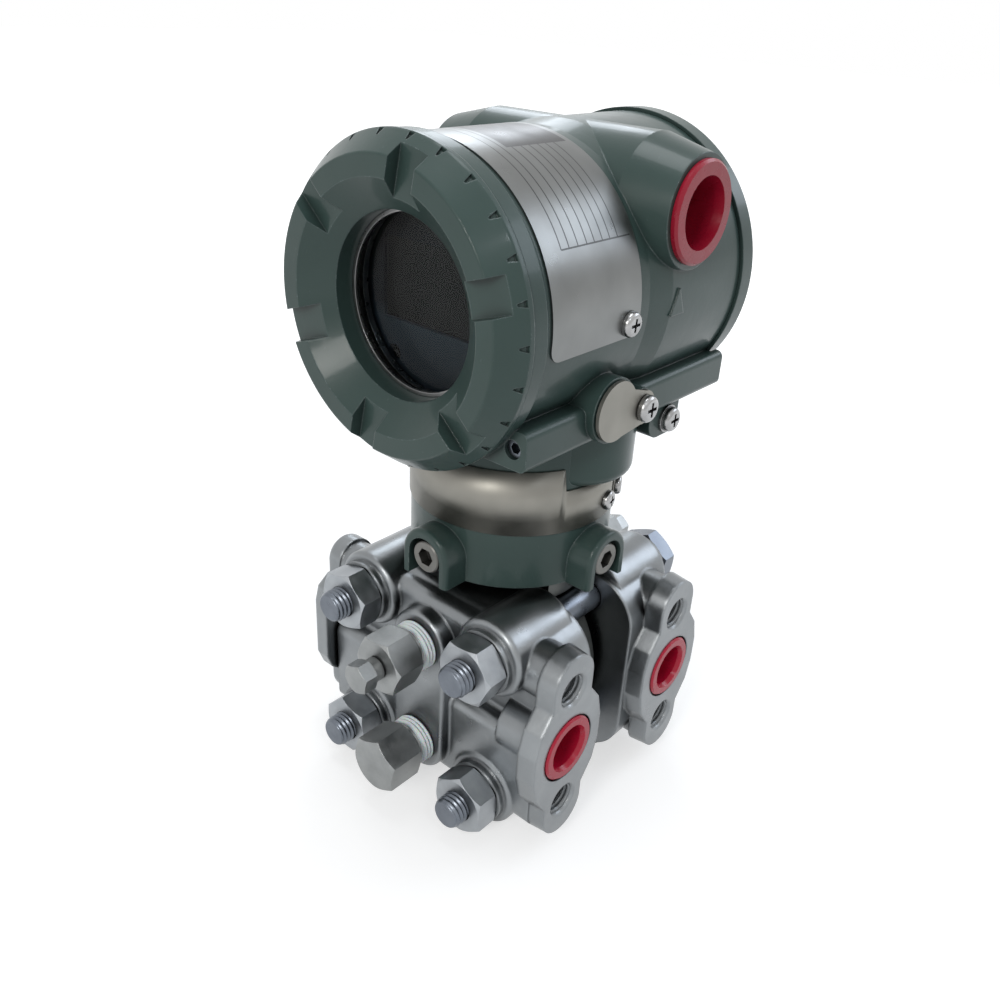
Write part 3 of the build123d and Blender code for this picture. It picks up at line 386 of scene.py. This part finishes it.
# Material of each slot that the record names. Steels and plastics: two tones, then two roughnesses
LOOKS = {
    "housing_paint": paint("housing enamel", 0.0),
    "cover_paint": paint("cover enamel", 5.0),
    "flange_steel": cast_steel(),
    "capsule_steel": turned_steel("capsule steel", (0.09, 0.095, 0.092), (0.13, 0.135, 0.13), 0.38, 0.50),
    "bolt_steel": turned_steel("bolt steel", (0.13, 0.145, 0.17), (0.19, 0.21, 0.24), 0.26, 0.36),
    "nut_steel": turned_steel("nut steel", (0.30, 0.32, 0.34), (0.39, 0.41, 0.43), 0.32, 0.44),
    "fitting_steel": turned_steel("fitting steel", (0.24, 0.25, 0.25), (0.32, 0.33, 0.33), 0.30, 0.42),
    "screw_steel": turned_steel("screw steel", (0.30, 0.30, 0.30), (0.40, 0.40, 0.40), 0.20, 0.30, 0.15),
    "plate_steel": brushed_plate("brushed sheet", (0.20, 0.195, 0.175), (0.27, 0.262, 0.235), 0.40, 0.49,
                                 (260.0, 260.0, 6000.0), 0.1),
    "plug_plastic": plain_plastic("red plastic", (0.27, 0.005, 0.020), (0.34, 0.008, 0.028), 0.22, 0.34,
                                  level=0.35),
    "tape_white": tape_material(),
    "window_clear": window_glass(),
    "seal_rubber": plain_plastic("seal rubber", (0.012, 0.012, 0.012), (0.02, 0.02, 0.02), 0.55, 0.70),
    "ring_metal": turned_steel("ring metal", (0.34, 0.34, 0.34), (0.44, 0.44, 0.44), 0.25, 0.35),
    "module_plastic": plain_plastic("module plastic", (0.010, 0.010, 0.010), (0.016, 0.015, 0.014), 0.40,
                                    0.55),
    "display_glass": display_material(),
    "terminal_plastic": plain_plastic("terminal plastic", (0.015, 0.015, 0.015), (0.022, 0.022, 0.022), 0.4,
                                      0.5),
}

# Nodes that look different from the rest of their slot
BRIGHT_RED = plain_plastic("bright red plastic", (0.42, 0.006, 0.030), (0.50, 0.010, 0.040), 0.18, 0.30,
                           level=0.35)
OWN_LOOKS = {
    "name_plate": brushed_plate("name plate", (0.155, 0.160, 0.158), (0.20, 0.206, 0.203), 0.27, 0.36,
                                (260.0, 6000.0, 260.0), 0.25, printed=True),
    "indicator_module": indicator_with_painted_reflection(),
    "neck_screws": turned_steel("dull screw steel", (0.15, 0.148, 0.138), (0.21, 0.205, 0.195), 0.34, 0.46),
    "front_port_plug": BRIGHT_RED,
    "rear_port_plug": BRIGHT_RED,
}


def dress(obj, material):
    if not obj.material_slots:
        obj.data.materials.append(material)
    for slot in obj.material_slots:
        slot.link = "OBJECT"
        slot.material = material


def dress_nodes():
    for entry in frame["record"]["subparts"]:
        node = entry["node"]
        dress(NODES[node], OWN_LOOKS.get(node, LOOKS[entry["material_slot"]]))


# Threads and tape, in millimetres. The faces run round a thread in AROUND steps
AROUND = 64
STEPS_PER_TURN = 9

# Threaded ends of the flange bolts, along -y
STUD_PLACES = [(x, PORT_Z + z) for x in (25.5, -25.5) for z in (24.7, -24.7)]
STUD_R, STUD_PITCH, STUD_THREAD_DEPTH = 5.0, 1.5, 0.62
STUD_THREAD_FROM, STUD_END = 47.2, 53.2
STUD_OVERLAP = 0.4         # the thread starts this far inside the plain shank
STUD_CHAMFER, STUD_END_DROP = 0.25, 0.3
STUD_LEAD_IN, STUD_LEAD_OUT = 0.6, 1.1

# Inner threads of the holes beside the ports, along x
HOLE_PLACES = [(y, PORT_Z + z) for y in (-27.0, 27.0) for z in (20.65, -20.65)]
HOLE_R, HOLE_PITCH, HOLE_THREAD_DEPTH = 4.86, 1.75, 0.6
HOLE_FROM, HOLE_TO = 36.0, 48.4
HOLE_LEAD = 1.2
HOLE_LIFT = 0.04           # the roots stand this far inside the skin's outer wall

# Plugs of the flanges: bare turns, and the tape wound on them
PLUG_HEIGHTS = (PORT_Z + 18.3, PORT_Z - 18.3)
PLUG_R, PLUG_PITCH, PLUG_THREAD_DEPTH = 7.0, 1.4, 0.36
PLUG_TURNS_FROM, PLUG_TURNS_TO = 43.8, 46.3
TAPE_FROM, TAPE_TO = 40.25, 44.3
TAPE_R, TAPE_WAVE, TAPE_PITCH = 7.88, 0.42, 1.25
TAPE_RINGS = 44
TAPE_EDGE, TAPE_EDGE_DROP = 0.9, 0.55    # length and depth of the thinner last turn
TAPE_LUMPS = 0.14
TAPE_LUMPS_AROUND, TAPE_LUMPS_ALONG = 1.6, 1.5
TAPE_SEED, TAPE_SHIFT = 7, 6.0
TAPE_END_BEVEL, TAPE_END_R = 0.1, 6.7

# Front tag band: inner radius, edges, and its start, end and step in degrees
BAND_R, BAND_THICK = 31.23, 0.5
BAND_LOW, BAND_TOP, BAND_TOP_LOW = PORT_Z + 58.0, PORT_Z + 78.0, PORT_Z + 71.2
BAND_FIRST, BAND_LAST, BAND_STEP_AT = -157.0, 19.0, -23.0
BAND_STRIPS = 120
SHARP_EDGE = math.radians(40.0)


def ridge(phase):
    """0 on a crest, 1 in a root, with both slightly flattened."""
    swing = abs(2.0 * (phase % 1.0) - 1.0)
    return min(max(1.25 * swing - 0.12, 0.0), 1.0)


def join(bm, a, b):
    """Quads between two loops of as many corners."""
    faces = []
    for k in range(len(a)):
        n = (k + 1) % len(a)
        faces.append(bm.faces.new((a[k], a[n], b[n], b[k])))
    return faces


def cap(bm, loops):
    bm.faces.new(loops[0])
    bm.faces.new(loops[-1])


def skin(bm, place, rings):
    """Smooth skin over rings of (along, radius of each corner), put in place by a function."""
    loops = []
    for along, radii in rings:
        loop = []
        for k, radius in enumerate(radii):
            angle = 2 * math.pi * k / AROUND
            loop.append(bm.verts.new(place(along, radius * math.cos(angle), radius * math.sin(angle))))
        loops.append(loop)
    for a, b in zip(loops, loops[1:]):
        for face in join(bm, a, b):
            face.smooth = True
    return loops


def threaded_rings(radius, depth, pitch, start, end, lead_in, lead_out):
    """Rings of an outer thread; the lead lengths fade it in and narrow its last turn."""
    count = int(round((end - start) / pitch * STEPS_PER_TURN))
    rings = []
    for i in range(count + 1):
        along = start + (end - start) * i / count
        fade = min(1.0, (along - start) / lead_in) if lead_in else 1.0
        narrow = max(0.0, 1.0 - (end - along) / lead_out) * depth if lead_out else 0.0
        radii = []
        for k in range(AROUND):
            cut = depth * ridge(along / pitch - k / AROUND) * fade
            radii.append(radius - max(cut, narrow))
        rings.append((along, radii))
    return rings


def piece(name, bm, slot_name, *nodes):
    """One mesh that rides on the transmitter's body, and that may stand for CAD nodes."""
    bmesh.ops.recalc_face_normals(bm, faces=bm.faces)
    mesh = bpy.data.meshes.new(name)
    bm.to_mesh(mesh)
    bm.free()
    obj = add_object(name, mesh)
    mesh.materials.append(LOOKS[slot_name])
    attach(obj, "transmitter")
    if nodes:
        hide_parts(*nodes)


def threaded_bolts():
    """The CAD bolts with their nut ends cut off and threaded ends put in."""
    bm = bmesh.new()
    source = NODES["flange_bolts"]
    bm.from_mesh(source.data)
    bm.transform(source.matrix_world)
    bmesh.ops.remove_doubles(bm, verts=bm.verts, dist=1e-7)
    geometry = list(bm.verts) + list(bm.edges) + list(bm.faces)
    cut = bmesh.ops.bisect_plane(bm, geom=geometry, plane_co=metres(0, -STUD_THREAD_FROM, 0),
                                 plane_no=(0, -1, 0), clear_outer=True)
    rim = [g for g in cut["geom_cut"] if isinstance(g, bmesh.types.BMEdge)]
    bmesh.ops.edgeloop_fill(bm, edges=rim)
    rings = threaded_rings(STUD_R, STUD_THREAD_DEPTH, STUD_PITCH, STUD_THREAD_FROM - STUD_OVERLAP,
                           STUD_END - STUD_CHAMFER, STUD_LEAD_IN, STUD_LEAD_OUT)
    rings.append((STUD_END, [radius - STUD_END_DROP for radius in rings[-1][1]]))
    for x, z in STUD_PLACES:
        cap(bm, skin(bm, lambda a, u, v: metres(x + u, -a, z + v), rings))
    piece("threaded_bolts", bm, "bolt_steel", "flange_bolts")


def hole_threads():
    """Inner threads of the four holes beside the ports."""
    bm = bmesh.new()
    count = int((HOLE_TO - HOLE_FROM) / HOLE_PITCH * STEPS_PER_TURN)
    rings = [(HOLE_TO, [HOLE_R] * AROUND), (HOLE_FROM, [HOLE_R] * AROUND)]
    for i in range(count + 1):
        along = HOLE_FROM + (HOLE_TO - HOLE_FROM) * i / count
        depth = HOLE_THREAD_DEPTH * min(1.0, (HOLE_TO - along) / HOLE_LEAD)
        rings.append((along, [HOLE_R - HOLE_LIFT - depth * (1 - ridge(along / HOLE_PITCH - k / AROUND))
                              for k in range(AROUND)]))
    for y, z in HOLE_PLACES:
        loops = skin(bm, lambda a, u, v: metres(a, y + u, z + v), rings)
        join(bm, loops[-1], loops[0])
    piece("pad_hole_threads", bm, "flange_steel")


def tall_tag_band():
    """Front tag band with its true height; it steps down under the housing's bulge on the right."""
    bm = bmesh.new()
    loops = []
    outer_r = BAND_R + BAND_THICK
    for i in range(BAND_STRIPS + 1):
        degrees = BAND_FIRST + (BAND_LAST - BAND_FIRST) * i / BAND_STRIPS
        angle = math.radians(degrees)
        top = BAND_TOP if degrees < BAND_STEP_AT else BAND_TOP_LOW
        corners = ((BAND_R, BAND_LOW), (outer_r, BAND_LOW), (outer_r, top), (BAND_R, top))
        loops.append([bm.verts.new(metres(r * math.cos(angle), r * math.sin(angle), z))
                      for r, z in corners])
    for a, b in zip(loops, loops[1:]):
        for k, face in enumerate(join(bm, a, b)):
            face.smooth = k in (1, 3)
    cap(bm, loops)
    for edge in bm.edges:
        edge.smooth = len(edge.link_faces) == 2 and edge.calc_face_angle() < SHARP_EDGE
    piece("tall_front_band", bm, "plate_steel", "front_tag_band")


def plug_threads():
    """Bare turns between the sealing tape and the hexagons of the vent and drain plugs."""
    bm = bmesh.new()
    rings = threaded_rings(PLUG_R, PLUG_THREAD_DEPTH, PLUG_PITCH, PLUG_TURNS_FROM, PLUG_TURNS_TO, 0, 0)
    for side in (-1, 1):
        for z in PLUG_HEIGHTS:
            cap(bm, skin(bm, lambda a, u, v: metres(u, side * a, z + v), rings))
    piece("bare_plug_threads", bm, "fitting_steel")


def wound_tape(name, side, node):
    """White tape wound on both plugs of one flange; its layers follow the thread underneath."""
    bm = bmesh.new()
    draw = random.Random(TAPE_SEED + side)
    inner = [PLUG_R - PLUG_THREAD_DEPTH] * AROUND
    for z in PLUG_HEIGHTS:
        shift = draw.random() * TAPE_SHIFT
        rings = [(TAPE_FROM, inner)]
        for i in range(TAPE_RINGS + 1):
            along = TAPE_FROM + (TAPE_TO - TAPE_FROM) * i / TAPE_RINGS
            drop = TAPE_EDGE_DROP * (1 - min(1.0, (TAPE_TO - along) / TAPE_EDGE))
            radii = []
            for k in range(AROUND):
                angle = 2 * math.pi * k / AROUND
                spot = Vector((math.cos(angle) * TAPE_LUMPS_AROUND, along * TAPE_LUMPS_ALONG,
                               math.sin(angle) * TAPE_LUMPS_AROUND + shift))
                wave = TAPE_WAVE * ridge(along / TAPE_PITCH - k / AROUND)
                radii.append(TAPE_R - drop - wave + TAPE_LUMPS * noise.noise(spot))
            rings.append((along, radii))
        end = TAPE_TO + TAPE_END_BEVEL
        rings.append((end, [(radius + TAPE_END_R) / 2 for radius in rings[-1][1]]))
        rings.append((end, inner))
        loops = skin(bm, lambda a, u, v: metres(u, side * a, z + v), rings)
        join(bm, loops[-1], loops[0])
    piece(name, bm, "tape_white", node)


# Floor and surroundings, with lengths in metres. To the camera and in reflections the floor glows from
# FLOOR_GLOW near the part to full white further off, and the surroundings are white
FLOOR_HALF = 4.0
FLOOR_GLOW = 0.62
FADE_FROM, FADE_TO = 0.15, 0.75
WORLD_LIGHT = 0.40
WORLD_TINT = (0.93, 0.97, 1.0)


def seen_directly(tree):
    """1 for the camera, and for reflections and light through glass that no matt surface has scattered."""
    rays = tree.nodes.new("ShaderNodeLightPath").outputs
    seen = math_node(tree, "MAXIMUM", rays["Is Camera Ray"], rays["Is Glossy Ray"])
    seen = math_node(tree, "MAXIMUM", seen, rays["Is Transmission Ray"])
    return math_node(tree, "MULTIPLY", seen, math_node(tree, "LESS_THAN", rays["Diffuse Depth"], 0.5))


def floor_material():
    """Pale matt floor that keeps the part's shadow and turns white away from it."""
    s = Shader("pale floor")
    s.set(Roughness=0.9, Specular_IOR_Level=0.1)
    s.colour(s.ramp(s.noise(3.0), (0.3, rgb(0.53, 0.53, 0.53)), (0.7, rgb(0.56, 0.56, 0.56))))
    away = s.add("ShaderNodeVectorMath", operation="LENGTH")
    s.link(s.place, away.inputs[0])
    fade = s.ramp(away.outputs["Value"], (FADE_FROM, FLOOR_GLOW), (FADE_TO, 1.0))
    seen = seen_directly(s.tree)
    s.set(Emission_Color=rgb(1, 1, 1))
    s.link(s.math("MULTIPLY", seen, fade), s.main.inputs["Emission Strength"])
    return s.material


def make_floor():
    mesh = bpy.data.meshes.new("floor")
    h = FLOOR_HALF
    mesh.from_pydata([(-h, -h, 0), (h, -h, 0), (h, h, 0), (-h, h, 0)], [], [(0, 1, 2, 3)])
    mesh.materials.append(floor_material())
    floor = add_object("floor", mesh)


def make_world():
    """White where it is seen, and a softer bluish light elsewhere."""
    world = bpy.data.worlds.new("world")
    world.use_nodes = True
    bpy.context.scene.world = world
    tree = world.node_tree
    tree.nodes.clear()
    pick = tree.nodes.new("ShaderNodeMixShader")
    tree.links.new(seen_directly(tree), pick.inputs["Fac"])
    lights = ((pick.inputs[1], WORLD_TINT, WORLD_LIGHT), (pick.inputs[2], (1, 1, 1), 1.0))
    for socket, colour, strength in lights:
        background = tree.nodes.new("ShaderNodeBackground")
        background.inputs["Color"].default_value = rgb(*colour)
        background.inputs["Strength"].default_value = strength
        tree.links.new(background.outputs[0], socket)
    out = tree.nodes.new("ShaderNodeOutputWorld")
    tree.links.new(pick.outputs[0], out.inputs["Surface"])


# Area lamps: name, place and side lengths in metres, power in watts, colour
LAMPS = [("sky", (-0.10, 0.05, 1.05), (0.40, 0.40), 3.2, (0.94, 0.97, 1.0)),
         ("window", (0.42, 0.75, 0.60), (0.55, 0.35), 2.0, (0.80, 0.88, 1.0)),
         ("left", (-0.60, 0.65, 0.62), (0.30, 0.30), 1.2, (0.85, 0.92, 1.0)),
         ("front", (0.20, -0.85, 0.55), (0.25, 0.25), 3.0, (1.0, 0.98, 0.95)),
         ("glint", (0.62, -0.36, 0.80), (0.07, 0.07), 0.5, (0.88, 0.94, 1.0))]
LAMPS_AIM = (0.0, 0.0, 0.10)


def make_lamps():
    for name, place, sides, power, colour in LAMPS:
        data = bpy.data.lights.new(name, "AREA")
        data.shape = "RECTANGLE"
        data.size, data.size_y = sides
        data.energy = power
        data.color = colour
        lamp = add_object(name, data)
        lamp.location = place
        aim = Vector(LAMPS_AIM) - Vector(place)
        lamp.rotation_euler = aim.to_track_quat("-Z", "Y").to_euler()


make_camera()
dress_nodes()
threaded_bolts()
hole_threads()
plug_threads()
tall_tag_band()
wound_tape("front_sealing_tape", -1, "front_thread_tape")
wound_tape("rear_sealing_tape", 1, "rear_thread_tape")
make_floor()
make_world()
make_lamps()

bpy.context.scene.view_settings.view_transform = "Standard"
